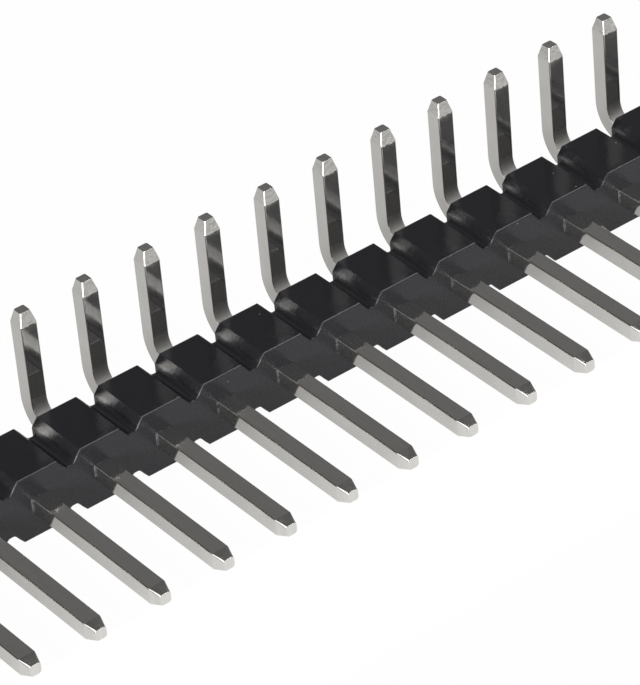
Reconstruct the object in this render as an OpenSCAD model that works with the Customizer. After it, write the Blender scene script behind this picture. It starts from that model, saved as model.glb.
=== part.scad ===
// Right-angle pin header strip: square wire contacts in a breakable moulded housing.
// +X runs along the strip, -Y is the mating side, +Z is the side that enters the board.
// The origin is under the middle of the whole strip, level with the housing's underside.

/* [Strip] */
// Number of contacts, one to each housing segment
positions = 20; // [2:1:50]
// Distance from one contact to the next
pitch = 2.54; // [2.3:0.02:3]

/* [Housing] */
// Depth of the housing, from its front face to its rear face
housing_depth = 2.5; // [1.8:0.1:4]
// Height of the housing, from its underside to its seating face
housing_height = 2.5; // [2.2:0.1:3.2]
// Width of the flat on top of and under each segment
flat_width = 1.6; // [1.2:0.05:1.8]
// Depth of the break notch between two segments, above and below the web
notch_depth = 0.43; // [0.2:0.01:0.6]
// Width of the floor of the break notch
notch_floor = 0.34; // [0.2:0.02:0.5]
// Depth of the slot behind the web, between the rear ends of two segments
rear_slot_depth = 0.32; // [0.1:0.02:0.6]
// Radius where the flat of a segment turns into its slanted shoulder
shoulder_radius = 0.16; // [0.08:0.02:0.24]

/* [Contact wire] */
// Width across the flats of the square wire
wire_size = 0.64; // [0.5:0.02:0.76]
// Radius along the four edges of the wire
wire_edge = 0.06; // [0.03:0.01:0.12]
// Gap between the wire and the wall of its hole, on each side
hole_clearance = 0.01; // [0.005:0.005:0.03]

/* [Mating leg] */
// Length of the leg in front of the housing, with its point
mating_length = 6.85; // [4:0.05:12]
// Length of the coined taper on the mating leg
mating_taper = 0.4; // [0.2:0.05:0.8]
// Width of the flat end of the mating leg
mating_flat = 0.37; // [0.2:0.01:0.45]

/* [Board tail] */
// Distance from the rear face of the housing to the middle of the tail
tail_offset = 1.32; // [1.2:0.02:2.4]
// Length of the tail above the seating face, with its point
tail_length = 3.28; // [1.5:0.02:6]
// Length of the coined taper on the tail
tail_taper = 0.47; // [0.2:0.01:0.8]
// Width of the flat end of the tail
tail_flat = 0.36; // [0.2:0.01:0.45]
// Inside radius of the bend from the straight leg into the tail
bend_radius = 0.68; // [0.3:0.02:0.8]

/* [Hidden] */
$fn = 32;
strip_length = positions * pitch;
axis_height = housing_height / 2;
web_half_height = axis_height - notch_depth;
segment_half = (pitch - notch_floor) / 2;
bend_centre_radius = bend_radius + wire_size / 2;
whole_depth = mating_length + housing_depth + tail_offset + wire_size / 2;
front_face = mating_length - whole_depth / 2;
rear_face = front_face + housing_depth;
mating_tip = front_face - mating_length;
tail_centre = rear_face + tail_offset;
bend_start = tail_centre - bend_centre_radius;
bend_top = axis_height + bend_centre_radius;
tail_tip = housing_height + tail_length;
shoulder_angle = atan2(notch_depth, segment_half - flat_width / 2);
shoulder_setback = shoulder_radius * tan(shoulder_angle / 2);
shoulder = [
    [segment_half, web_half_height],
    [flat_width / 2, axis_height] + shoulder_setback * [cos(shoulder_angle), -sin(shoulder_angle)],
    [flat_width / 2 - shoulder_setback, axis_height]
];
cut_margin = 0.5;

// Node name of a contact, counted from the -X end
function contact_name(i) = str("pin_", i < 10 ? "0" : "", i);

// Place along the strip of a contact, counted from the -X end
function contact_place(i) = (i - (positions + 1) / 2) * pitch;

// Stands a flat outline drawn in X and Z up, and extrudes it from y_from to y_to
module along_y(y_from, y_to) {
    translate([0, y_to, 0])
        rotate([90, 0, 0])
            linear_extrude(y_to - y_from)
                children();
}

// Square with four rounded corners
module rounded_square(width, radius) {
    inner = width - 2 * radius;
    square([width, inner], center = true);
    square([inner, width], center = true);
    for (x = [-1, 1], y = [-1, 1])
        translate([x * inner / 2, y * inner / 2])
            circle(radius);
}

// Points followed by their mirror image on the other side of the upright middle line
function both_sides(points) =
    concat(points, [for (k = [len(points) - 1 : -1 : 0]) [-points[k].x, points[k].y]]);

// Points followed by their mirror image below the level middle line
function above_and_below(points) =
    concat(points, [for (k = [len(points) - 1 : -1 : 0]) [points[k].x, -points[k].y]]);

// One segment seen from the front: an octagon with its upper and lower corners rounded
module segment_outline() {
    polygon(above_and_below(both_sides(shoulder)));
    for (x = [-1, 1], z = [-1, 1])
        translate([x * (flat_width / 2 - shoulder_setback), z * (axis_height - shoulder_radius)])
            circle(shoulder_radius);
}

// Moulded housing: segments joined by thin webs, with a hole for each contact
module housing() {
    color([0.13, 0.14, 0.15])
        difference() {
            union() {
                translate([-strip_length / 2, front_face, axis_height - web_half_height])
                    cube([strip_length, housing_depth - rear_slot_depth, 2 * web_half_height]);
                for (i = [1 : positions])
                    translate([contact_place(i), 0, axis_height])
                        along_y(front_face, rear_face)
                            segment_outline();
            }
            for (i = [1 : positions])
                translate([contact_place(i), 0, axis_height])
                    along_y(front_face - cut_margin, rear_face + cut_margin)
                        rounded_square(wire_size + 2 * hole_clearance, wire_edge + hole_clearance);
        }
}

// Straight length of wire along +Z with a coined, four-sided taper at its far end
module pointed_leg(length, taper, flat) {
    outline = [
        [-wire_size / 2, 0],
        [wire_size / 2, 0],
        [wire_size / 2, length - taper],
        [flat / 2, length],
        [-flat / 2, length],
        [-wire_size / 2, length - taper]
    ];
    intersection() {
        linear_extrude(length)
            rounded_square(wire_size, wire_edge);
        rotate([90, 0, 0])
            linear_extrude(2 * wire_size, center = true)
                polygon(outline);
        rotate([90, 0, 90])
            linear_extrude(2 * wire_size, center = true)
                polygon(outline);
    }
}

// Quarter turn of wire from the straight leg up into the tail
module bend() {
    translate([0, bend_start, bend_top])
        rotate([0, 90, 0])
            rotate_extrude(angle = 90)
                translate([bend_centre_radius, 0])
                    rounded_square(wire_size, wire_edge);
}

// One contact: mating leg, passage through the housing, bend and board tail
module contact() {
    color([0.72, 0.71, 0.69]) {
        translate([0, bend_start, axis_height])
            rotate([90, 0, 0])
                pointed_leg(bend_start - mating_tip, mating_taper, mating_flat);
        bend();
        translate([0, tail_centre, bend_top])
            pointed_leg(tail_tip - bend_top, tail_taper, tail_flat);
    }
}

housing();
for (i = [1 : positions])
    translate([contact_place(i), 0, 0]) contact();
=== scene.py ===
"""Finish and studio for a right-angle pin header strip.

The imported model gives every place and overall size. Each solid in it is stood for by a piece of the
same form with rounded edges: one moulded housing, and one bent square-wire contact to each hole.
All lengths are metres unless a name says otherwise.
"""

from __future__ import annotations

import logging
import math
from dataclasses import dataclass, field
from enum import Enum

import bmesh
import bpy
from mathutils import Matrix, Vector

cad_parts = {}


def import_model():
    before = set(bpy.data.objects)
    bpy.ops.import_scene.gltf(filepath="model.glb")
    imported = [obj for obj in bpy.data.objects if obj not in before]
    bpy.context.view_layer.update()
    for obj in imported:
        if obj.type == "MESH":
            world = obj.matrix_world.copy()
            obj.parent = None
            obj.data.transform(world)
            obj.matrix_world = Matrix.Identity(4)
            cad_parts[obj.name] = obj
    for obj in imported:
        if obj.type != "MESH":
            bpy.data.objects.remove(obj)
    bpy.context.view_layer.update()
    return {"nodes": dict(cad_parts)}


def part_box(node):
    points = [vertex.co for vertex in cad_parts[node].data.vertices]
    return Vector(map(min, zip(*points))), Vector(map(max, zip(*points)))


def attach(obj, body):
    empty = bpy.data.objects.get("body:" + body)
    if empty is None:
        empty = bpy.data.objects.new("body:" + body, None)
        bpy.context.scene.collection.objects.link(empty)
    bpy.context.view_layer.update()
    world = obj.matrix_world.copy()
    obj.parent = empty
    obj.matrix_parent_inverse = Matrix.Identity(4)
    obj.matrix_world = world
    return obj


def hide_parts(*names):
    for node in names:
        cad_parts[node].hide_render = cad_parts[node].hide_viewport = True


LOG = logging.getLogger("pin_header_strip")
MM = 0.001
BODY = "root"

# Slack in metres: the fine one for cuts and for what lies on a plane, the other for joins and for
# what lies within reach.
FINE_SLACK = 1e-7
SLACK = 1e-6

# Least share of a face's normal along an axis, for a face that looks roughly that way and for one
# that looks straight along it.
FACING = 0.5
SQUARE_ON = 0.9

# How far some tails lean to the side at their foot and at their point, in millimetres. The bending
# tool takes a strip of contacts at a stroke, so most of them stand alike.
LEANING_TAILS_MM: dict[str, tuple[float, float]] = {
    "pin_08": (-0.01, -0.02),
    "pin_13": (0.01, 0.015),
    "pin_14": (0.025, 0.03),
    "pin_15": (0.02, 0.03),
    "pin_16": (-0.02, -0.02),
    "pin_17": (-0.03, -0.035),
}


class Slot(Enum):
    """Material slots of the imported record."""

    HOUSING = "housing"
    CONTACT = "contact"


# --------------------------------------------------------------------------------------------------
# Colours and nodes
# --------------------------------------------------------------------------------------------------


def linear(hex_colour: str) -> tuple[float, float, float, float]:
    """Turns an sRGB hex colour into the linear colour that shaders read.

    Args:
        hex_colour: Six hex digits, with or without a leading #.

    Returns:
        Linear red, green, blue and an alpha of 1.
    """
    digits = hex_colour.lstrip("#")
    channels = [int(digits[i : i + 2], 16) / 255 for i in (0, 2, 4)]
    return (*(c / 12.92 if c <= 0.04045 else ((c + 0.055) / 1.055) ** 2.4 for c in channels), 1.0)


def add_node(
    tree: bpy.types.NodeTree,
    kind: str,
    settings: dict[str, object] | None = None,
    inputs: dict[str | int, object] | None = None,
) -> bpy.types.Node:
    """Adds a node with its settings and its inputs.

    Args:
        tree: Node tree that gets the node.
        kind: Type of the node.
        settings: Attribute names and values.
        inputs: Input names or numbers, each with a value or the output socket to link from.

    Returns:
        The new node.
    """
    node = tree.nodes.new(kind)
    for name, value in (settings or {}).items():
        setattr(node, name, value)
    for name, value in (inputs or {}).items():
        if isinstance(value, bpy.types.NodeSocket):
            tree.links.new(value, node.inputs[name])
        else:
            node.inputs[name].default_value = value
    return node


def blank_material(name: str) -> bpy.types.Material:
    """Makes a material with an empty node tree.

    Args:
        name: Name of the finish.

    Returns:
        The material.
    """
    material = bpy.data.materials.new(name)
    material.use_nodes = True
    material.node_tree.nodes.clear()
    return material


# --------------------------------------------------------------------------------------------------
# Finishes
# --------------------------------------------------------------------------------------------------


@dataclass(frozen=True)
class MouldedThermoplastic:
    """Black glass-filled polyester, injection moulded in a fine spark-eroded tool.

    The carbon black makes it nearly colourless and very dark. The tool leaves a semi-gloss skin
    with a fine grain, so it mirrors bright things near it as soft patches and stays black
    elsewhere.

    Attributes:
        pitch: Distance from one contact to the next.
        axis_height: Height of the contacts' axis.
        name: Name of the material.
        colour: Colour of the moulding.
        ior: Index of refraction of the polyester.
        roughness: Roughness of clean skin.
        roughness_spread: How far the roughness strays either way as the skin clouds.
        cloud_band: Noise values between which it strays from one end to the other.
        mottle_roughness: What the duller blotches add to the roughness.
        mottle_band: Noise values where a blotch begins and is full.
        front_roughness: What handling adds to it on the front.
        notch_roughness: What it gains in the notches, where the tool is hard to polish.
        notch_mm: Distance from the nearest contact where a notch begins, and where it is full.
        facing_front: Outward directions along Y between which a face becomes part of the front.
        front_painted_reflection: Share of pale colour on the front that is a painted reflection of
            the floor, low down and high up.
        painted_reflection_mm: The two heights of that painted reflection.
        painted_light_and_speck_colour: Colour of the painted reflection, the painted highlights and
            the specks.
        rim_highlight_share: How pale the painted highlight is along the left side of each hole's
            mouth, beside its contact.
        rim_highlight_left_mm: Place along the strip, from the contact, where the painted highlight
            begins and is full.
        rim_highlight_right_mm: Place where it ends and is full.
        rim_highlight_foot_mm: Height from the contact's axis where it begins and is full.
        rim_highlight_top_mm: Height where it ends and is full.
        rim_highlight_band: Noise values between which the painted highlight breaks up.
        speck_reach: Rim and core of a pale speck, as shares of the specks' spacing.
        speck_choice: Draws between which a place for a speck comes to bear one.
        grain_mm: Width of the grain.
        mottle_mm: Width of the duller blotches.
        cloud_mm: Width of the clouds in the skin's gloss.
        speck_mm: Spacing of the specks.
        grain_height_mm: Height of the grain.
        grain_strength: Share of the grain's height that the shading shows.
    """

    pitch: float
    axis_height: float
    name: str = "moulded_black_thermoplastic"
    colour: str = "#1B1B20"
    ior: float = 1.52
    roughness: float = 0.12
    roughness_spread: float = 0.03
    cloud_band: tuple[float, float] = (0.3, 0.7)
    mottle_roughness: float = 0.07
    mottle_band: tuple[float, float] = (0.45, 0.6)
    front_roughness: float = 0.12
    notch_roughness: float = 0.22
    notch_mm: tuple[float, float] = (0.98, 1.08)
    facing_front: tuple[float, float] = (-0.8, -0.97)
    front_painted_reflection: tuple[float, float] = (0.05, 0.006)
    painted_reflection_mm: tuple[float, float] = (0.3, 2.0)
    painted_light_and_speck_colour: str = "#8A8C92"
    rim_highlight_share: float = 0.9
    rim_highlight_left_mm: tuple[float, float] = (-0.38, -0.355)
    rim_highlight_right_mm: tuple[float, float] = (0.0, -0.1)
    rim_highlight_foot_mm: tuple[float, float] = (-0.4, 0.0)
    rim_highlight_top_mm: tuple[float, float] = (0.36, 0.28)
    rim_highlight_band: tuple[float, float] = (0.35, 0.55)
    speck_reach: tuple[float, float] = (0.05, 0.025)
    speck_choice: tuple[float, float] = (0.6, 0.9)
    # The real grain and mottle are a few hundredths of a millimetre wide. That is too fine to show,
    # so they are drawn coarser.
    grain_mm: float = 0.12
    mottle_mm: float = 0.17
    cloud_mm: float = 1.4
    speck_mm: float = 0.7
    grain_height_mm: float = 0.004
    grain_strength: float = 0.6

    def material(self) -> bpy.types.Material:
        """Builds the finish as a procedural material.

        Returns:
            The material.
        """
        material = blank_material(self.name)
        tree = material.node_tree
        coordinates = add_node(tree, "ShaderNodeTexCoord")
        place = coordinates.outputs["Object"]
        facing = add_node(
            tree, "ShaderNodeSeparateXYZ", inputs={"Vector": coordinates.outputs["Normal"]}
        )
        phase = self._phase(tree, place)
        beside = add_node(tree, "ShaderNodeMath", {"operation": "ABSOLUTE"}, {0: phase})
        grain, mottle, cloud = (
            add_node(
                tree,
                "ShaderNodeTexNoise",
                inputs={"Vector": place, "Scale": 1 / (size * MM), "Detail": 3.0, "Roughness": 0.6},
            ).outputs["Fac"]
            for size in (self.grain_mm, self.mottle_mm, self.cloud_mm)
        )
        calm, coarse = (self.roughness + way * self.roughness_spread for way in (-1, 1))
        at_front, rough, notch, blotch = (
            add_node(
                tree,
                "ShaderNodeMapRange",
                {"interpolation_type": "SMOOTHSTEP"},
                {"Value": value, "From Min": start, "From Max": end, "To Min": low, "To Max": high},
            ).outputs["Result"]
            for value, (start, end), (low, high) in (
                (facing.outputs["Y"], self.facing_front, (0.0, 1.0)),
                (cloud, self.cloud_band, (calm, coarse)),
                (beside.outputs[0], self.notch_mm, (0.0, self.notch_roughness)),
                (mottle, self.mottle_band, (0.0, self.mottle_roughness)),
            )
        )
        worn = add_node(
            tree, "ShaderNodeMix", inputs={0: at_front, 2: notch, 3: self.front_roughness}
        )
        for extra in (blotch, worn.outputs[0]):
            rough = add_node(
                tree, "ShaderNodeMath", {"operation": "ADD"}, {0: rough, 1: extra}
            ).outputs[0]
        bump = add_node(
            tree,
            "ShaderNodeBump",
            inputs={
                "Strength": self.grain_strength,
                "Distance": self.grain_height_mm * MM,
                "Height": grain,
            },
        )
        shader = add_node(
            tree,
            "ShaderNodeBsdfPrincipled",
            inputs={
                "Base Color": self._colour_with_painted_light(tree, place, phase, at_front, mottle),
                "IOR": self.ior,
                "Roughness": rough,
                "Normal": bump.outputs["Normal"],
            },
        )
        add_node(tree, "ShaderNodeOutputMaterial", inputs={"Surface": shader.outputs["BSDF"]})
        return material

    def _phase(self, tree: bpy.types.NodeTree, place: bpy.types.NodeSocket) -> bpy.types.NodeSocket:
        """Tells the place along the strip from the nearest contact.

        Args:
            tree: The material's node tree.
            place: The place on the strip.

        Returns:
            The distance in millimetres, less than 0 on the contact's left.
        """
        along = add_node(tree, "ShaderNodeSeparateXYZ", inputs={"Vector": place}).outputs["X"]
        half = self.pitch / 2 / MM
        shifted = add_node(
            tree, "ShaderNodeMath", {"operation": "MULTIPLY_ADD"}, {0: along, 1: 1 / MM, 2: -half}
        )
        return add_node(
            tree,
            "ShaderNodeMath",
            {"operation": "WRAP"},
            {0: shifted.outputs[0], 1: half, 2: -half},
        ).outputs[0]

    def _colour_with_painted_light(
        self,
        tree: bpy.types.NodeTree,
        place: bpy.types.NodeSocket,
        phase: bpy.types.NodeSocket,
        at_front: bpy.types.NodeSocket,
        mottle: bpy.types.NodeSocket,
    ) -> bpy.types.NodeSocket:
        """Builds the colour, with painted light on the front (a painted reflection of the floor and a
        painted highlight along the left side of each hole's mouth) and a few pale specks.

        Args:
            tree: The material's node tree.
            place: The place on the strip.
            phase: The place along the strip from the nearest contact, in millimetres.
            at_front: 1 on the front and 0 elsewhere.
            mottle: Noise that breaks up the painted highlight.

        Returns:
            The colour.
        """
        height = add_node(tree, "ShaderNodeSeparateXYZ", inputs={"Vector": place}).outputs["Z"]
        dots = add_node(
            tree,
            "ShaderNodeTexVoronoi",
            inputs={"Vector": place, "Scale": 1 / (self.speck_mm * MM)},
        )
        draw = add_node(tree, "ShaderNodeSeparateColor", inputs={"Color": dots.outputs["Color"]})
        foot, top = (
            [self.axis_height + level * MM for level in levels]
            for levels in (self.rim_highlight_foot_mm, self.rim_highlight_top_mm)
        )
        *marks, painted_reflection, dot, chosen = (
            add_node(
                tree,
                "ShaderNodeMapRange",
                {"interpolation_type": "SMOOTHSTEP"},
                {"Value": value, "From Min": start, "From Max": end, "To Min": low, "To Max": high},
            ).outputs["Result"]
            for value, (start, end), (low, high) in (
                (phase, self.rim_highlight_left_mm, (0.0, 1.0)),
                (phase, self.rim_highlight_right_mm, (0.0, 1.0)),
                (height, foot, (0.0, 1.0)),
                (height, top, (0.0, 1.0)),
                (mottle, self.rim_highlight_band, (0.0, 1.0)),
                # Painted reflection of the pale floor on the front, paler low down than high up.
                (height, [level * MM for level in self.painted_reflection_mm], self.front_painted_reflection),
                (dots.outputs["Distance"], self.speck_reach, (0.0, 1.0)),
                (draw.outputs["Red"], self.speck_choice, (0.0, 1.0)),
            )
        )
        # Painted highlight along the left side of each hole's mouth, on the front only.
        rim_highlight = self.rim_highlight_share
        for mark in (*marks, at_front):
            rim_highlight = add_node(
                tree, "ShaderNodeMath", {"operation": "MULTIPLY"}, {0: rim_highlight, 1: mark}
            ).outputs[0]
        # Painted light on the front: the floor's painted reflection plus the painted highlight at
        # each hole's rim.
        pale, speck = (
            add_node(tree, "ShaderNodeMath", {"operation": how}, values).outputs[0]
            for how, values in (
                ("MULTIPLY_ADD", {0: at_front, 1: painted_reflection, 2: rim_highlight}),
                ("MULTIPLY", {0: dot, 1: chosen}),
            )
        )
        painted_light_and_specks = add_node(tree, "ShaderNodeMath", {"operation": "MAXIMUM"}, {0: pale, 1: speck})
        return add_node(
            tree,
            "ShaderNodeMix",
            {"data_type": "RGBA"},
            {0: painted_light_and_specks.outputs[0], 6: linear(self.colour), 7: linear(self.painted_light_and_speck_colour)},
        ).outputs[2]


@dataclass(frozen=True)
class BrightTin:
    """Bright electroplated tin over drawn brass wire.

    Tin is a slightly warm grey metal. The brightener makes it nearly a mirror, and the drawing die
    leaves faint lines along the wire that stretch what it mirrors.

    Attributes:
        name: Name of the material.
        colour: Colour of the tin.
        metallic: Share of bare metal, where the rest is a thin film of oxide.
        roughness: Roughness of the brightest tin.
        roughness_spread: What the duller blotches add to the roughness.
        blotch_band: Noise values where a blotch begins and is full.
        corner_roughness: Roughness of the straight legs' corners, where the die drags.
        bend_roughness: Roughness inside the bend, which the bending tool leaves dull.
        bend_mm: Height below which that dullness begins, and below which it is full.
        bend_front_mm: Place along Y behind which it lies.
        tarnish: Colour of the tin in the drawing lines.
        tarnish_share: The most that a line takes of it.
        tarnish_band: Noise values where a line begins and is full.
        ridge_shade_colour: Darker, browner colour painted on the mating legs' upper corners as
            painted shade.
        ridge_shade_mm: Places along Y between which the legs' upper corners bear that painted shade.
        line_mm: Width of a drawing line.
        line_stretch: Length of a drawing line, as a multiple of its width.
        line_height_mm: Height of a drawing line.
        blotch_mm: Width of the duller blotches.
        wave_mm: Width of the waves in the wire's flats.
        wave_height_mm: Height of the waves.
        point_mm: Place along Y in front of which the mating point bears the coining tool's marks,
            and height above which the tail's point bears them.
        dent_mm: Width of those marks.
        dent_height_mm: Their depth on the mating point and on the tail's point.
    """

    name: str = "bright_tin_plating"
    colour: str = "#D2D0CC"
    metallic: float = 0.962
    roughness: float = 0.055
    roughness_spread: float = 0.05
    blotch_band: tuple[float, float] = (0.35, 0.65)
    corner_roughness: float = 0.14
    bend_roughness: float = 0.52
    bend_mm: tuple[float, float] = (2.8, 1.9)
    bend_front_mm: float = 4.0
    tarnish: str = "#B9B6B0"
    tarnish_share: float = 0.3
    tarnish_band: tuple[float, float] = (0.35, 0.75)
    ridge_shade_colour: str = "#958B7B"
    ridge_shade_mm: tuple[float, float] = (-5.0, 0.25)
    # The real drawing lines are about a hundredth of a millimetre apart. That is too fine to show,
    # so they are drawn coarser.
    line_mm: float = 0.09
    line_stretch: float = 14.0
    line_height_mm: float = 0.0008
    blotch_mm: float = 0.4
    wave_mm: float = 0.9
    wave_height_mm: float = 0.00075
    point_mm: tuple[float, float] = (-5.0, 5.25)
    dent_mm: float = 0.16
    dent_height_mm: tuple[float, float] = (0.003, 0.01)

    def material(self) -> bpy.types.Material:
        """Builds the finish as a procedural material.

        Returns:
            The material.
        """
        material = blank_material(self.name)
        tree = material.node_tree
        coordinates = add_node(tree, "ShaderNodeTexCoord")
        place = coordinates.outputs["Object"]
        split, facing = (
            add_node(tree, "ShaderNodeSeparateXYZ", inputs={"Vector": coordinates.outputs[kind]})
            for kind in ("Object", "Normal")
        )
        drawn = add_node(
            tree,
            "ShaderNodeVectorMath",
            {"operation": "MULTIPLY"},
            {0: place, 1: (1.0, 1 / self.line_stretch, 1 / self.line_stretch)},
        ).outputs[0]
        wave, blotch, dent, line = (
            add_node(
                tree,
                "ShaderNodeTexNoise",
                inputs={"Vector": at, "Scale": 1 / (size * MM), "Detail": 2.0, "Roughness": 0.5},
            ).outputs["Fac"]
            for at, size in (
                (place, self.wave_mm),
                (place, self.blotch_mm),
                (place, self.dent_mm),
                (drawn, self.line_mm),
            )
        )
        normal = None
        for height, depth in (
            (wave, self.wave_height_mm * MM),
            (line, self.line_height_mm * MM),
            (dent, self._dent_depth(tree, split)),
        ):
            bump = add_node(tree, "ShaderNodeBump", inputs={"Distance": depth, "Height": height})
            if normal is not None:
                tree.links.new(normal, bump.inputs["Normal"])
            normal = bump.outputs["Normal"]
        bright, dull = self.roughness, self.roughness + self.roughness_spread
        rough, tarnished = (
            add_node(
                tree,
                "ShaderNodeMapRange",
                {"interpolation_type": "LINEAR"},
                {"Value": value, "From Min": start, "From Max": end, "To Min": low, "To Max": high},
            ).outputs["Result"]
            for value, (start, end), (low, high) in (
                (blotch, self.blotch_band, (bright, dull)),
                (line, self.tarnish_band, (0.0, self.tarnish_share)),
            )
        )
        for worked in (self._bend(tree, split, facing), self._corner(tree, split, facing)):
            rough = add_node(
                tree, "ShaderNodeMath", {"operation": "MAXIMUM"}, {0: rough, 1: worked}
            ).outputs[0]
        colour = linear(self.colour)
        for share, other in (
            (tarnished, self.tarnish),
            # Painted shade on the mating legs' upper corners.
            (self._painted_ridge_shade(tree, split, facing), self.ridge_shade_colour),
        ):
            colour = add_node(
                tree,
                "ShaderNodeMix",
                {"data_type": "RGBA"},
                {0: share, 6: colour, 7: linear(other)},
            ).outputs[2]
        shader = add_node(
            tree,
            "ShaderNodeBsdfPrincipled",
            inputs={
                "Base Color": colour,
                "Metallic": self.metallic,
                "Roughness": rough,
                "Normal": normal,
            },
        )
        add_node(tree, "ShaderNodeOutputMaterial", inputs={"Surface": shader.outputs["BSDF"]})
        return material

    def _dent_depth(self, tree: bpy.types.NodeTree, split: bpy.types.Node) -> bpy.types.NodeSocket:
        """Tells how deep the coining tool's marks are: only the two points bear them.

        Args:
            tree: The material's node tree.
            split: Node that gives the place as three numbers.

        Returns:
            The depth.
        """
        mating, tail = self.point_mm
        at_mating, at_tail = (
            add_node(
                tree, "ShaderNodeMath", {"operation": how}, {0: split.outputs[axis], 1: level * MM}
            ).outputs[0]
            for how, axis, level in (("LESS_THAN", "Y", mating), ("GREATER_THAN", "Z", tail))
        )
        light, heavy = (height * MM for height in self.dent_height_mm)
        faint = add_node(
            tree, "ShaderNodeMath", {"operation": "MULTIPLY"}, {0: at_mating, 1: light}
        )
        return add_node(
            tree,
            "ShaderNodeMath",
            {"operation": "MULTIPLY_ADD"},
            {0: at_tail, 1: heavy, 2: faint.outputs[0]},
        ).outputs[0]

    def _painted_ridge_shade(
        self, tree: bpy.types.NodeTree, split: bpy.types.Node, facing: bpy.types.Node
    ) -> bpy.types.NodeSocket:
        """Tells where the tin bears painted shade: on the mating legs' upper corners.

        Args:
            tree: The material's node tree.
            split: Node that gives the place as three numbers.
            facing: Node that gives the surface's direction as three numbers.

        Returns:
            A number from 0 for plain tin to 1 for tin with the full painted shade.
        """
        tip, root = self.ridge_shade_mm
        flank = add_node(
            tree, "ShaderNodeMath", {"operation": "ABSOLUTE"}, {0: facing.outputs["X"]}
        )
        mating = add_node(
            tree,
            "ShaderNodeMath",
            {"operation": "COMPARE"},
            {0: split.outputs["Y"], 1: (tip + root) / 2 * MM, 2: (root - tip) / 2 * MM},
        )
        # Flank times top is a half at the middle of an upper corner, and 2 brings that up to 1.
        ridge_shade = flank.outputs[0]
        for factor in (facing.outputs["Z"], mating.outputs[0], 2.0):
            ridge_shade = add_node(
                tree,
                "ShaderNodeMath",
                {"operation": "MULTIPLY", "use_clamp": True},
                {0: ridge_shade, 1: factor},
            ).outputs[0]
        return ridge_shade

    def _corner(
        self, tree: bpy.types.NodeTree, split: bpy.types.Node, facing: bpy.types.Node
    ) -> bpy.types.NodeSocket:
        """Tells the roughness of the straight legs' corners.

        Args:
            tree: The material's node tree.
            split: Node that gives the place as three numbers.
            facing: Node that gives the surface's direction as three numbers.

        Returns:
            The roughness, which is 0 on the flats and on the mating point.
        """
        side = facing.outputs["X"]
        flank = add_node(tree, "ShaderNodeMath", {"operation": "MULTIPLY"}, {0: side, 1: side})
        rough = flank.outputs[0]
        level = add_node(tree, "ShaderNodeMath", {"operation": "SUBTRACT"}, {0: 1.0, 1: rough})
        straight = add_node(
            tree,
            "ShaderNodeMath",
            {"operation": "GREATER_THAN"},
            {0: split.outputs["Y"], 1: self.point_mm[0] * MM},
        )
        # Flank times level is a quarter at the middle of a corner, and 4 brings that up to 1.
        for factor in (level.outputs[0], straight.outputs[0], 4 * self.corner_roughness):
            rough = add_node(
                tree, "ShaderNodeMath", {"operation": "MULTIPLY"}, {0: rough, 1: factor}
            ).outputs[0]
        return rough

    def _bend(
        self, tree: bpy.types.NodeTree, split: bpy.types.Node, facing: bpy.types.Node
    ) -> bpy.types.NodeSocket:
        """Tells the roughness inside the bend.

        Args:
            tree: The material's node tree.
            split: Node that gives the place as three numbers.
            facing: Node that gives the surface's direction as three numbers.

        Returns:
            The roughness, which is 0 on the flanks and away from the bend.
        """
        top, bottom = self.bend_mm
        low = add_node(
            tree,
            "ShaderNodeMapRange",
            {"interpolation_type": "SMOOTHSTEP"},
            {"Value": split.outputs["Z"], "From Min": top * MM, "From Max": bottom * MM},
        )
        bent, flank = (
            add_node(tree, "ShaderNodeMath", {"operation": how}, inputs).outputs[0]
            for how, inputs in (
                ("GREATER_THAN", {0: split.outputs["Y"], 1: self.bend_front_mm * MM}),
                ("ABSOLUTE", {0: facing.outputs["X"]}),
            )
        )
        for how, value in (
            ("MULTIPLY", low.outputs["Result"]),
            ("SUBTRACT", flank),
            ("MULTIPLY", self.bend_roughness),
        ):
            bent = add_node(
                tree, "ShaderNodeMath", {"operation": how, "use_clamp": True}, {0: bent, 1: value}
            ).outputs[0]
        return bent


# --------------------------------------------------------------------------------------------------
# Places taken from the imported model
# --------------------------------------------------------------------------------------------------


@dataclass(frozen=True)
class StripLayout:
    """Where the housing and the contacts lie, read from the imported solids.

    Attributes:
        housing_low: Lowest corner of the housing's box.
        housing_high: Highest corner of the housing's box.
        contacts: The two corners of each contact's box, by name.
    """

    housing_low: Vector
    housing_high: Vector
    contacts: dict[str, tuple[Vector, Vector]]

    @classmethod
    def read(cls, nodes: dict[str, bpy.types.Object]) -> StripLayout:
        """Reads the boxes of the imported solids.

        Args:
            nodes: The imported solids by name.

        Returns:
            The layout.
        """
        low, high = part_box("housing")
        names = sorted(name for name in nodes if name.startswith("pin_"))
        return cls(low, high, {name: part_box(name) for name in names})

    @property
    def centres(self) -> list[float]:
        """Places of the contacts along the strip."""
        return [(low.x + high.x) / 2 for low, high in self.contacts.values()]

    @property
    def pitch(self) -> float:
        """Distance from one contact to the next."""
        return (self.centres[-1] - self.centres[0]) / (len(self.centres) - 1)

    @property
    def axis_height(self) -> float:
        """Height of the straight legs' axis."""
        return (self.housing_low.z + self.housing_high.z) / 2


def flats_first(shape: bmesh.types.BMesh) -> list[Vector]:
    """Works out vertex normals that keep wide flats flat, so only the narrow rounded strips turn.

    Args:
        shape: A closed shape with its faces pointing outwards.

    Returns:
        One normal to each vertex, in order.
    """
    normals = []
    for vert in shape.verts:
        total = Vector()
        for face in vert.link_faces:
            total += face.normal * (face.calc_area() / MM**2) ** 2
        normals.append(total.normalized())
    return normals


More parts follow.
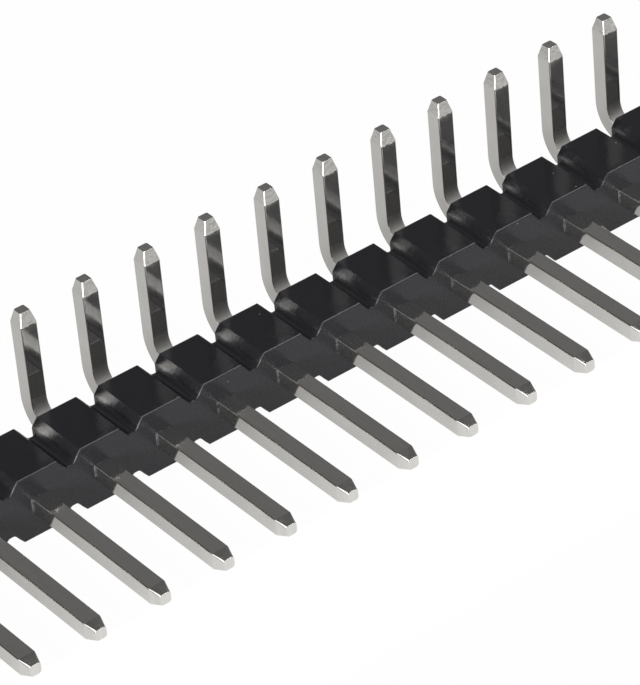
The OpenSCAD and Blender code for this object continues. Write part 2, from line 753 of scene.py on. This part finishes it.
def finish_piece(
    mesh_source: bmesh.types.BMesh, name: str, material: bpy.types.Material
) -> bpy.types.Object:
    """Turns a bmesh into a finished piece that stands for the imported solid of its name.

    Args:
        mesh_source: The shape, in the row frame. It is freed.
        name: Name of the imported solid.
        material: Finish of the piece.

    Returns:
        The piece's object.
    """
    bmesh.ops.recalc_face_normals(mesh_source, faces=mesh_source.faces)
    mesh_source.normal_update()
    normals = flats_first(mesh_source)
    mesh = bpy.data.meshes.new(f"{name}_form")
    mesh_source.to_mesh(mesh)
    mesh_source.free()
    mesh.materials.append(material)
    mesh.shade_smooth()
    mesh.normals_split_custom_set_from_vertices(normals)
    piece = bpy.data.objects.new(f"{name}_finished", mesh)
    bpy.context.scene.collection.objects.link(piece)
    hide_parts(name)
    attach(piece, BODY)
    return piece


# --------------------------------------------------------------------------------------------------
# The moulded housing
# --------------------------------------------------------------------------------------------------


@dataclass
class Housing:
    """The break-off moulding: octagonal segments joined by webs, with a hole for each contact.

    Attributes:
        layout: Where the housing and the contacts lie.
        flat_width: Width of a segment's flat top, and of its flat underside.
        notch_depth: How far a notch goes down to its web.
        notch_floor: Width of a notch at its web.
        rear_slot_depth: How far the webs end in front of the housing's rear.
        rear_slot_width: Width of the slot behind a web.
        hole_width: Width of a contact's hole.
        shoulder_crown: Share by which a shoulder falls less steeply at its top and more at its
            foot.
        front_edge: Radius round the front's outline.
        rear_edge: Radius round the rear's outline.
        edge_steps: Steps that make up each of those two.
        sharp_edge: Radius of the other edges.
        mouth_edge: Radius round the holes' mouths.
        sharp_angle: Least turn between two faces that makes their edge sharp.
    """

    layout: StripLayout
    flat_width: float = 1.6 * MM
    notch_depth: float = 0.44 * MM
    notch_floor: float = 0.28 * MM
    rear_slot_depth: float = 0.3 * MM
    rear_slot_width: float = 0.44 * MM
    hole_width: float = 0.65 * MM
    shoulder_crown: float = 0.2
    front_edge: float = 0.055 * MM
    rear_edge: float = 0.06 * MM
    edge_steps: int = 4
    sharp_edge: float = 0.02 * MM
    mouth_edge: float = 0.005 * MM
    sharp_angle: float = math.radians(30)

    @property
    def segment_half(self) -> float:
        """Half the width of a segment at its web."""
        return (self.layout.pitch - self.notch_floor) / 2

    @property
    def foot(self) -> float:
        """Half the width of the hollow between a shoulder and its web."""
        return self.segment_half - self.rear_half

    @property
    def web_rear(self) -> float:
        """Place of the webs' rear."""
        return self.layout.housing_high.y - self.rear_slot_depth

    @property
    def rear_half(self) -> float:
        """Half the width of a segment behind its web."""
        return (self.layout.pitch - self.rear_slot_width) / 2

    def build(self, material: bpy.types.Material) -> bpy.types.Object:
        """Builds the housing.

        Args:
            material: Finish of the moulding.

        Returns:
            The housing's object.
        """
        strip = self._segment()
        self._repeat(strip)
        self._close_ends(strip)
        self._round_face(strip, self.layout.housing_low.y, -1, self.front_edge)
        self._round_face(strip, self.layout.housing_high.y, 1, self.rear_edge)
        self._pierce(strip)
        self._round_edges(strip)
        return finish_piece(strip, "housing", material)

    def _segment(self) -> bmesh.types.BMesh:
        """Builds one segment with half a web on each side, open towards its neighbours.

        Returns:
            The segment.
        """
        low, high = self.layout.housing_low, self.layout.housing_high
        front = low.y + self.front_edge
        depth, height = self.web_rear - front, high.z - low.z
        middle = (front + self.web_rear) / 2
        centre = Vector((self.layout.centres[0], middle, self.layout.axis_height))
        cell = bmesh.new()
        bmesh.ops.create_cube(cell, size=1.0)
        bmesh.ops.scale(cell, vec=(self.layout.pitch, depth, height), verts=cell.verts)
        sides = [face for face in cell.faces if abs(face.normal.x) > FACING]
        bmesh.ops.delete(cell, geom=sides, context="FACES_ONLY")
        flat = self.flat_width / 2
        # The outline turns at these distances from the middle, and the hole's sides come last.
        for across in (
            self.segment_half + self.foot,
            self.segment_half + self.foot / 3,
            self.segment_half - self.foot / 3,
            self.rear_half,
            (self.segment_half + flat) / 2,
            flat,
            self.hole_width / 2,
        ):
            for side in (-1, 1):
                bmesh.ops.bisect_plane(
                    cell,
                    geom=[*cell.verts, *cell.edges, *cell.faces],
                    dist=FINE_SLACK,
                    plane_co=(side * across, 0, 0),
                    plane_no=(1, 0, 0),
                )
        for vert in cell.verts:
            drop = self._drop(abs(vert.co.x))
            bmesh.ops.scale(cell, vec=(1, 1, 1 - 2 * drop / height), verts=[vert])
        self._raise_rear(cell)
        self._mark_hole(cell)
        bmesh.ops.translate(cell, vec=centre, verts=cell.verts)
        return cell

    def _drop(self, across: float) -> float:
        """Tells how far the outline lies below the top flat, at a distance from the middle.

        The shoulder falls ever more steeply, and a hollow leads it into the web.

        Args:
            across: The distance along the strip from the segment's middle.

        Returns:
            The fall.
        """
        wide = self.segment_half - self.flat_width / 2
        out = min(max(1 + (across - self.segment_half) / wide, 0.0), 1.0)
        slope = (1 + self.shoulder_crown) * self.notch_depth / wide
        near = max(self.foot - abs(across - self.segment_half), 0.0)
        fallen = out * (1 - self.shoulder_crown * (1 - out)) * self.notch_depth
        return fallen - slope * near**2 / (4 * self.foot)

    def _raise_rear(self, cell: bmesh.types.BMesh) -> None:
        """Draws the rear of the segment out past the web, which leaves the slot between segments.

        Args:
            cell: The segment.
        """
        rear = [
            face
            for face in cell.faces
            if face.normal.y > FACING and abs(face.calc_center_median().x) < self.rear_half
        ]
        drawn = bmesh.ops.extrude_face_region(cell, geom=rear)
        bmesh.ops.delete(cell, geom=rear, context="FACES")
        verts = [item for item in drawn["geom"] if isinstance(item, bmesh.types.BMVert)]
        bmesh.ops.translate(cell, vec=(0, self.rear_slot_depth - self.rear_edge, 0), verts=verts)

    def _mark_hole(self, cell: bmesh.types.BMesh) -> None:
        """Scores the outline of the square hole on the front and on the rear.

        Args:
            cell: The segment.
        """
        half = self.hole_width / 2
        for side in (-1, 1):
            middle = [
                face
                for face in cell.faces
                if abs(face.normal.y) > FACING and abs(face.calc_center_median().x) < half
            ]
            edges = list({edge for face in middle for edge in face.edges})
            verts = list({vert for face in middle for vert in face.verts})
            bmesh.ops.bisect_plane(
                cell,
                geom=[*verts, *edges, *middle],
                dist=FINE_SLACK,
                plane_co=(0, 0, side * half),
                plane_no=(0, 0, 1),
            )

    def _pierce(self, strip: bmesh.types.BMesh) -> None:
        """Opens each hole from front to rear.

        Args:
            strip: The housing.
        """
        half = self.hole_width / 2
        for centre in self.layout.centres:
            mouths = [
                face
                for face in strip.faces
                if abs(face.normal.y) > SQUARE_ON
                and abs(face.calc_center_median().x - centre) < half
                and abs(face.calc_center_median().z - self.layout.axis_height) < half
            ]
            rims = list({edge for face in mouths for edge in face.edges})
            bmesh.ops.delete(strip, geom=mouths, context="FACES_ONLY")
            bmesh.ops.bridge_loops(strip, edges=rims)

    def _repeat(self, strip: bmesh.types.BMesh) -> None:
        """Repeats the first segment along the strip and joins the webs.

        Args:
            strip: The first segment, which becomes the whole strip.
        """
        first = [*strip.verts, *strip.edges, *strip.faces]
        for centre in self.layout.centres[1:]:
            copied = bmesh.ops.duplicate(strip, geom=first)
            verts = [item for item in copied["geom"] if isinstance(item, bmesh.types.BMVert)]
            bmesh.ops.translate(strip, vec=(centre - self.layout.centres[0], 0, 0), verts=verts)
        bmesh.ops.remove_doubles(strip, verts=strip.verts, dist=SLACK)

    def _close_ends(self, strip: bmesh.types.BMesh) -> None:
        """Closes the two ends of the strip, where it was parted through a web."""
        open_edges = [edge for edge in strip.edges if edge.is_boundary]
        bmesh.ops.holes_fill(strip, edges=open_edges, sides=0)

    def _round_face(
        self, strip: bmesh.types.BMesh, level: float, facing: int, radius: float
    ) -> None:
        """Raises the front or the rear to its place in steps that round its outline.

        Args:
            strip: The housing, whose flat face lies short of its place by the radius.
            level: Place of the face along Y.
            facing: -1 for the front and 1 for the rear.
            radius: Radius of the outline's edge.
        """
        strip.normal_update()
        flat = [
            face
            for face in strip.faces
            if face.normal.y * facing > SQUARE_ON
            and abs(face.calc_center_median().y - level) < radius + SLACK
        ]
        turns = [math.pi / 2 * step / self.edge_steps for step in range(self.edge_steps + 1)]
        for start, end in zip(turns[:-1], turns[1:], strict=True):
            bmesh.ops.inset_region(
                strip,
                faces=flat,
                use_boundary=True,
                use_even_offset=True,
                thickness=radius * (math.cos(start) - math.cos(end)),
                depth=radius * (math.sin(end) - math.sin(start)),
            )

    def _round_edges(self, strip: bmesh.types.BMesh) -> None:
        """Takes the sharpness off the holes' mouths and off every other edge that is still sharp.

        The long edges inside the holes stay sharp, because the contacts fill them.

        Args:
            strip: The housing.
        """
        strip.normal_update()
        for radius, steps, at_hole in ((self.mouth_edge, 1, True), (self.sharp_edge, 2, False)):
            sharp = [
                edge
                for edge in strip.edges
                if edge.is_manifold
                and edge.calc_face_angle() > self.sharp_angle
                and self._at_hole(edge) == at_hole
                and not (at_hole and abs(edge.verts[0].co.y - edge.verts[1].co.y) > self.front_edge)
            ]
            bmesh.ops.bevel(
                strip,
                geom=sharp,
                affect="EDGES",
                offset=radius,
                offset_type="OFFSET",
                segments=steps,
                profile=0.5,
                material=-1,
                clamp_overlap=True,
            )

    def _at_hole(self, edge: bmesh.types.BMEdge) -> bool:
        """Tells whether an edge lies on a contact's hole.

        Args:
            edge: An edge of the housing.

        Returns:
            True on the hole's outline or inside it.
        """
        reach = self.hole_width / 2 + SLACK
        middle = (edge.verts[0].co + edge.verts[1].co) / 2
        across = min(abs(middle.x - centre) for centre in self.layout.centres)
        return across < reach and abs(middle.z - self.layout.axis_height) < reach


# --------------------------------------------------------------------------------------------------
# The contacts
# --------------------------------------------------------------------------------------------------


@dataclass(frozen=True)
class WireSection:
    """A square section with rounded corners.

    Attributes:
        width: Width over the flats.
        corner: Radius of the corners.
    """

    width: float
    corner: float

    def place(self, away: float) -> float:
        """Gives how far out a corner's arc has its centre, on the side that a value points to."""
        return math.copysign(self.width / 2 - self.corner, away)


@dataclass
class ContactPin:
    """One contact of drawn square wire: mating leg, bend and board tail, with coined points.

    Attributes:
        name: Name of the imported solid.
        low: Lowest corner of its box.
        high: Highest corner of its box.
        axis_height: Height of the mating leg's axis.
        tail_set: How far the tail's foot and its point stand to the side, as the bending tool left
            them.
        plating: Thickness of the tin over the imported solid.
        wire_corner: Radius of the wire's corners.
        point_edge: Rounding where the legs run into their points.
        end_edge: Rounding round the points' flat ends.
        mating_taper: Length of the mating leg's point.
        mating_point: Section at its flat end.
        tail_taper: Length of the tail's point.
        tail_point: Section at its flat end.
        bend_radius: Radius inside the bend.
        bend_steps: Steps that make up the bend.
        corner_steps: Steps that make up each of the wire's corners.
        edge_steps: Steps that make up the rounding of an edge.
    """

    name: str
    low: Vector
    high: Vector
    axis_height: float
    tail_set: tuple[float, float] = (0.0, 0.0)
    plating: float = 0.003 * MM
    wire_corner: float = 0.042 * MM
    point_edge: float = 0.015 * MM
    end_edge: float = 0.005 * MM
    mating_taper: float = 0.44 * MM
    mating_point: WireSection = WireSection(0.43 * MM, 0.11 * MM)
    tail_taper: float = 0.47 * MM
    tail_point: WireSection = WireSection(0.4 * MM, 0.055 * MM)
    bend_radius: float = 0.68 * MM
    bend_steps: int = 14
    corner_steps: int = 4
    edge_steps: int = 2

    @property
    def wire(self) -> WireSection:
        """Section of the plated wire."""
        return WireSection(self.high.x - self.low.x + 2 * self.plating, self.wire_corner)

    def build(self, material: bpy.types.Material) -> bpy.types.Object:
        """Builds the contact by drawing its square section along the wire's course.

        Args:
            material: Finish of the plating.

        Returns:
            The contact's object.
        """
        wire = bmesh.new()
        end = self._start(wire)
        end = self._draw(wire, end, Vector((0, self.mating_taper, 0)), self.mating_point, self.wire)
        half = (self.high.x - self.low.x) / 2
        turn = self.bend_radius + half
        bend_start = self.high.y - half - turn
        straight = bend_start - self.low.y - self.mating_taper
        end = self._draw(wire, end, Vector((0, straight, 0)))
        end = self._bend(wire, end, Vector((0, bend_start, self.axis_height + turn)))
        rise = self.high.z - self.tail_taper - self.axis_height - turn
        end = self._draw(wire, end, Vector((0, 0, rise)))
        self._draw(wire, end, Vector((0, 0, self.tail_taper)), self.wire, self.tail_point)
        self._soften_points(wire)
        self._set_tail(wire, bend_start, turn)
        return finish_piece(wire, self.name, material)

    def _start(self, wire: bmesh.types.BMesh) -> list[bmesh.types.BMFace]:
        """Makes the flat end of the mating leg, with its rounded corners.

        Args:
            wire: An empty shape, which becomes the contact.

        Returns:
            The end face.
        """
        half = self.mating_point.width / 2
        bmesh.ops.create_circle(wire, cap_ends=True, segments=4, radius=half * math.sqrt(2))
        bmesh.ops.rotate(wire, matrix=Matrix.Rotation(math.radians(45), 3, "Z"), verts=wire.verts)
        bmesh.ops.rotate(wire, matrix=Matrix.Rotation(math.radians(90), 3, "X"), verts=wire.verts)
        centre = Vector(((self.low.x + self.high.x) / 2, self.low.y, self.axis_height))
        bmesh.ops.translate(wire, vec=centre, verts=wire.verts)
        bmesh.ops.bevel(
            wire,
            geom=list(wire.verts),
            affect="VERTICES",
            offset=self.mating_point.corner,
            offset_type="OFFSET",
            segments=self.corner_steps,
            profile=0.5,
            material=-1,
        )
        return list(wire.faces)

    def _draw(
        self,
        wire: bmesh.types.BMesh,
        end: list[bmesh.types.BMFace],
        along: Vector,
        start: WireSection | None = None,
        finish: WireSection | None = None,
    ) -> list[bmesh.types.BMFace]:
        """Draws the end face on in a straight line.

        Args:
            wire: The contact so far.
            end: Its end face.
            along: How far the end moves.
            start: Section of the end face, where it changes.
            finish: Section that it changes to.

        Returns:
            The new end face.
        """
        drawn = bmesh.ops.extrude_face_region(wire, geom=end)["geom"]
        # The first end face stays, as the mating leg's flat end. A later one would lie inside.
        if len(wire.faces) > len(end) + len(end[0].verts) + 1:
            bmesh.ops.delete(wire, geom=end, context="FACES_ONLY")
        verts = [item for item in drawn if isinstance(item, bmesh.types.BMVert)]
        bmesh.ops.translate(wire, vec=along, verts=verts)
        if start and finish:
            middle = sum((vert.co for vert in verts), Vector()) / len(verts)
            swell = finish.corner / start.corner
            for vert in verts:
                away = vert.co - middle
                drawn_to = [
                    finish.place(a) + (a - start.place(a)) * swell if abs(a) > FINE_SLACK else 0.0
                    for a in away
                ]
                bmesh.ops.translate(wire, vec=Vector(drawn_to) - away, verts=[vert])
        return [item for item in drawn if isinstance(item, bmesh.types.BMFace)]

    def _bend(
        self, wire: bmesh.types.BMesh, end: list[bmesh.types.BMFace], centre: Vector
    ) -> list[bmesh.types.BMFace]:
        """Bends the wire a quarter turn up round a level line.

        Args:
            wire: The contact so far.
            end: Its end face.
            centre: A place on the line.

        Returns:
            The new end face.
        """
        spun = bmesh.ops.spin(
            wire,
            geom=end,
            cent=centre,
            axis=(1, 0, 0),
            angle=math.radians(90),
            steps=self.bend_steps,
        )
        bmesh.ops.delete(wire, geom=end, context="FACES_ONLY")
        return [item for item in spun["geom_last"] if isinstance(item, bmesh.types.BMFace)]

    def _set_tail(self, wire: bmesh.types.BMesh, bend_start: float, turn: float) -> None:
        """Sets the tail a little to the side, from the bend up.

        Args:
            wire: The contact.
            bend_start: Place along Y where the bend begins.
            turn: Radius of the bend at the wire's axis.
        """
        foot, point = self.tail_set
        foot_height = self.axis_height + turn
        for vert in wire.verts:
            bent = min(max((vert.co.y - bend_start) / turn, 0.0), 1.0)
            risen = min(max((vert.co.z - foot_height) / (self.high.z - foot_height), 0.0), 1.0)
            aside = foot * bent + (point - foot) * risen
            bmesh.ops.translate(wire, vec=(aside, 0, 0), verts=[vert])

    def _soften_points(self, wire: bmesh.types.BMesh) -> None:
        """Takes the sharpness off the edges round both coined points.

        Args:
            wire: The contact.
        """
        for axis, level, radius in (
            ("y", self.low.y, self.end_edge),
            ("y", self.low.y + self.mating_taper, self.point_edge),
            ("z", self.high.z, self.end_edge),
            ("z", self.high.z - self.tail_taper, self.point_edge),
        ):
            ring = [
                edge
                for edge in wire.edges
                if all(abs(getattr(vert.co, axis) - level) < FINE_SLACK for vert in edge.verts)
            ]
            bmesh.ops.bevel(
                wire,
                geom=ring,
                affect="EDGES",
                offset=radius,
                offset_type="OFFSET",
                segments=self.edge_steps,
                profile=0.5,
                material=-1,
            )


# --------------------------------------------------------------------------------------------------
# Studio
# --------------------------------------------------------------------------------------------------


def direction(azimuth: float, elevation: float) -> Vector:
    """Gives the way from the object to a lamp or to the camera.

    Args:
        azimuth: Direction in degrees, where 0 is -Y and -90 is -X.
        elevation: Height above the horizon in degrees.

    Returns:
        A vector of length 1.
    """
    turn, lift = math.radians(azimuth), math.radians(elevation)
    return Vector(
        (math.sin(turn) * math.cos(lift), -math.cos(turn) * math.cos(lift), math.sin(lift))
    )


@dataclass(frozen=True)
class Softbox:
    """A rectangular lamp that faces the object, and that the camera doesn't see.

    Attributes:
        name: Name of the lamp.
        azimuth: Direction of the lamp from the object, as in direction().
        elevation: Height of the lamp, as in direction().
        spread: Angles in degrees that the lamp fills across and up, seen from the object.
        radiance: Brightness of its face, where 1 is white.
        distance: How far off it hangs.
    """

    name: str
    azimuth: float
    elevation: float
    spread: tuple[float, float]
    radiance: float
    distance: float = 0.6

    def build(self, target: Vector) -> None:
        """Hangs the lamp and turns it to the target.

        Args:
            target: Place that the lamp faces.
        """
        away = direction(self.azimuth, self.elevation)
        width, height = (2 * self.distance * math.tan(math.radians(a) / 2) for a in self.spread)
        lamp = bpy.data.lights.new(self.name, "AREA")
        lamp.shape = "RECTANGLE"
        lamp.size, lamp.size_y = width, height
        lamp.energy = self.radiance * math.pi * width * height
        holder = bpy.data.objects.new(self.name, lamp)
        holder.location = target + away * self.distance
        holder.rotation_mode = "QUATERNION"
        holder.rotation_quaternion = away.to_track_quat("Z", "Y")
        holder.visible_camera = False
        bpy.context.scene.collection.objects.link(holder)


@dataclass
class Studio:
    """Pale floor, dim room above it and soft lamps round it.

    Attributes:
        target: Place that the lamps face.
        floor_size: Width of the square floor.
        floor_colour: Colour of its card.
        floor_glow: Share of plain white that the camera sees in the floor. The rest is lit card, so
            that the strip's shadow shows on it.
        floor_shine: The same share for what mirrors the floor.
        floor_painted_shading: How pale the floor is to all but the camera, from front to back, as
            pairs of a place along Y in millimetres and a tone. The card is palest just in front of
            the strip, as painted light, darker near and behind the strip, as painted shadow, and
            dimmer far off.
        room_low: Brightness of the room at the horizon.
        room_high: Its brightness overhead.
        room_top: Sine of the elevation from which it is that dim.
        lamps: The soft lamps.
    """

    target: Vector
    floor_size: float = 3.0
    floor_colour: str = "#F4F4F2"
    floor_glow: float = 0.975
    floor_shine: float = 0.8
    # Painted light just in front of the strip, painted shadow near it and behind it.
    floor_painted_shading: tuple[tuple[float, float], ...] = (
        (-40.0, 0.55),
        (-20.0, 0.75),
        (-7.0, 1.12),
        (-4.5, 1.03),
        (-3.2, 0.87),
        (-1.2, 0.79),
        (-0.2, 0.76),
        (0.8, 0.69),
        (1.2, 0.63),
        (7.0, 0.645),
        (8.0, 0.715),
        (11.0, 0.75),
        (20.0, 0.72),
        (40.0, 0.2),
    )
    room_low: float = 0.3
    room_high: float = 0.1
    room_top: float = 0.87
    lamps: tuple[Softbox, ...] = field(
        default_factory=lambda: (
            Softbox("key_front_left", -48, 6.0, (44, 20), 12.0),
            Softbox("key_upper", -48, 18.6, (44, 5.2), 5.0),
            Softbox("panel_front_right", 32, 17, (56, 46), 0.5),
            Softbox("upper_front_right", 49, 52, (10, 10), 4.5),
            Softbox("main_right", 89, 63.5, (20, 20), 7.0),
            Softbox("strip_left", -90, 38, (36, 50), 1.9),
        )
    )

    def build(self) -> None:
        """Builds the floor, the room and the lamps."""
        self._floor()
        self._room()
        for lamp in self.lamps:
            lamp.build(self.target)
            LOG.info("lamp %s", lamp.name)

    def _floor(self) -> None:
        """Lays the pale floor that the strip stands on."""
        sheet = bmesh.new()
        bmesh.ops.create_grid(sheet, x_segments=1, y_segments=1, size=self.floor_size / 2)
        mesh = bpy.data.meshes.new("floor_form")
        sheet.to_mesh(mesh)
        sheet.free()
        mesh.materials.append(self._floor_material())
        floor = bpy.data.objects.new("floor", mesh)
        bpy.context.scene.collection.objects.link(floor)

    def _floor_material(self) -> bpy.types.Material:
        """Builds white card that glows to the camera and in mirrors, and still takes a shadow. To all
        but the camera, its glow and its colour also carry painted shadow near the strip and painted
        light in front of it.

        Returns:
            The material.
        """
        material = blank_material("white_card")
        tree = material.node_tree
        path = add_node(tree, "ShaderNodeLightPath")
        seen = add_node(
            tree,
            "ShaderNodeMath",
            {"operation": "MULTIPLY"},
            {0: path.outputs["Is Camera Ray"], 1: self.floor_glow},
        )
        share = add_node(
            tree,
            "ShaderNodeMath",
            {"operation": "MULTIPLY_ADD"},
            {0: path.outputs["Is Glossy Ray"], 1: self.floor_shine, 2: seen.outputs[0]},
        )
        place = add_node(tree, "ShaderNodeTexCoord").outputs["Object"]
        (first, front_painted_shading), *between, (last, back_painted_shading) = self.floor_painted_shading
        depth = add_node(tree, "ShaderNodeSeparateXYZ", inputs={"Vector": place}).outputs["Y"]
        along = add_node(
            tree,
            "ShaderNodeMapRange",
            inputs={"Value": depth, "From Min": first * MM, "From Max": last * MM},
        )
        # Painted shading of the card along Y, for all but the camera.
        ramp = add_node(tree, "ShaderNodeValToRGB", inputs={"Fac": along.outputs["Result"]})
        stops = ramp.color_ramp.elements
        for stop, painted_shading in zip(stops, (front_painted_shading, back_painted_shading), strict=True):
            stop.color = (painted_shading, painted_shading, painted_shading, 1.0)
        for at, painted_shading in between:
            stops.new((at - first) / (last - first)).color = (painted_shading, painted_shading, painted_shading, 1.0)
        shaded = add_node(
            tree,
            "ShaderNodeMath",
            {"operation": "MAXIMUM"},
            {0: ramp.outputs["Color"], 1: path.outputs["Is Camera Ray"]},
        )
        painted_shading = add_node(
            tree,
            "ShaderNodeVectorMath",
            {"operation": "SCALE"},
            {0: linear(self.floor_colour)[:3], "Scale": shaded.outputs[0]},
        )
        card = add_node(tree, "ShaderNodeBsdfDiffuse", inputs={"Color": painted_shading.outputs["Vector"]})
        glow = add_node(
            tree,
            "ShaderNodeEmission",
            inputs={"Color": (1, 1, 1, 1), "Strength": shaded.outputs[0]},
        )
        mixed = add_node(
            tree,
            "ShaderNodeMixShader",
            inputs={0: share.outputs[0], 1: card.outputs[0], 2: glow.outputs[0]},
        )
        add_node(tree, "ShaderNodeOutputMaterial", inputs={"Surface": mixed.outputs[0]})
        return material

    def _room(self) -> None:
        """Builds a world that is white to the camera and a dim grey room to everything else."""
        world = bpy.data.worlds.new("studio_room")
        world.use_nodes = True
        tree = world.node_tree
        tree.nodes.clear()
        path = add_node(tree, "ShaderNodeLightPath")
        way = add_node(tree, "ShaderNodeTexCoord").outputs["Generated"]
        height = add_node(tree, "ShaderNodeSeparateXYZ", inputs={"Vector": way}).outputs["Z"]
        dimming = add_node(
            tree,
            "ShaderNodeMapRange",
            inputs={
                "Value": height,
                "From Min": 0.0,
                "From Max": self.room_top,
                "To Min": self.room_low,
                "To Max": self.room_high,
            },
        )
        room = add_node(
            tree,
            "ShaderNodeBackground",
            inputs={"Color": (1, 1, 1, 1), "Strength": dimming.outputs["Result"]},
        )
        white = add_node(
            tree, "ShaderNodeBackground", inputs={"Color": (1, 1, 1, 1), "Strength": 1.0}
        )
        mixed = add_node(
            tree,
            "ShaderNodeMixShader",
            inputs={0: path.outputs["Is Camera Ray"], 1: room.outputs[0], 2: white.outputs[0]},
        )
        add_node(tree, "ShaderNodeOutputWorld", inputs={"Surface": mixed.outputs[0]})
        bpy.context.scene.world = world


@dataclass(frozen=True)
class ViewCamera:
    """A long lens from the front left and above, rolled a little to the left.

    Attributes:
        azimuth: Direction of the camera from the strip, as in direction().
        elevation: Height of the camera, as in direction().
        roll: Turn round the line of sight in degrees.
        distance: Distance from the place that it aims at.
        aim_offset: Where that place lies from the middle of the housing's box.
        lens: Focal length in millimetres.
        sensor: Width of the sensor in millimetres.
        clip: Nearest and farthest distance that it sees.
    """

    azimuth: float = -35.007
    elevation: float = 35.841
    roll: float = -5.398
    distance: float = 159.336 * MM
    aim_offset: Vector = field(default_factory=lambda: Vector((0.664, -0.6625, 0.0)) * MM)
    lens: float = 246.40
    sensor: float = 36.0
    clip: tuple[float, float] = (0.01, 20.0)

    def build(self, layout: StripLayout) -> None:
        """Places the camera.

        Args:
            layout: Where the housing lies; the camera aims near its middle.
        """
        middle = (layout.housing_low + layout.housing_high) / 2
        back = direction(self.azimuth, self.elevation)
        data = bpy.data.cameras.new("view_camera")
        data.lens = self.lens
        data.sensor_width = self.sensor
        data.clip_start, data.clip_end = self.clip
        camera = bpy.data.objects.new("view_camera", data)
        camera.location = middle + self.aim_offset + back * self.distance
        camera.rotation_mode = "QUATERNION"
        level = back.to_track_quat("Z", "Y").to_matrix()
        rolled = level @ Matrix.Rotation(math.radians(self.roll), 3, "Z")
        camera.rotation_quaternion = rolled.to_quaternion()
        bpy.context.scene.collection.objects.link(camera)
        bpy.context.scene.camera = camera


def main() -> None:
    """Builds the camera, the studio and every piece in that order, and reports each piece."""
    logging.basicConfig(level=logging.INFO, format="%(name)s: %(message)s")
    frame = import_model()
    layout = StripLayout.read(frame["nodes"])
    ViewCamera().build(layout)
    bpy.context.scene.view_settings.view_transform = "Standard"
    Studio(target=Vector((0, 0, layout.axis_height))).build()
    moulding = MouldedThermoplastic(layout.pitch, layout.axis_height)
    pieces = [Housing(layout).build(moulding.material())]
    plating = BrightTin().material()
    for name, (low, high) in layout.contacts.items():
        foot, point = LEANING_TAILS_MM.get(name, (0.0, 0.0))
        contact = ContactPin(name, low, high, layout.axis_height, (foot * MM, point * MM))
        pieces.append(contact.build(plating))
    for piece in pieces:
        LOG.info("%s: %d faces", piece.name, len(piece.data.polygons))


if __name__ == "__main__":
    main()
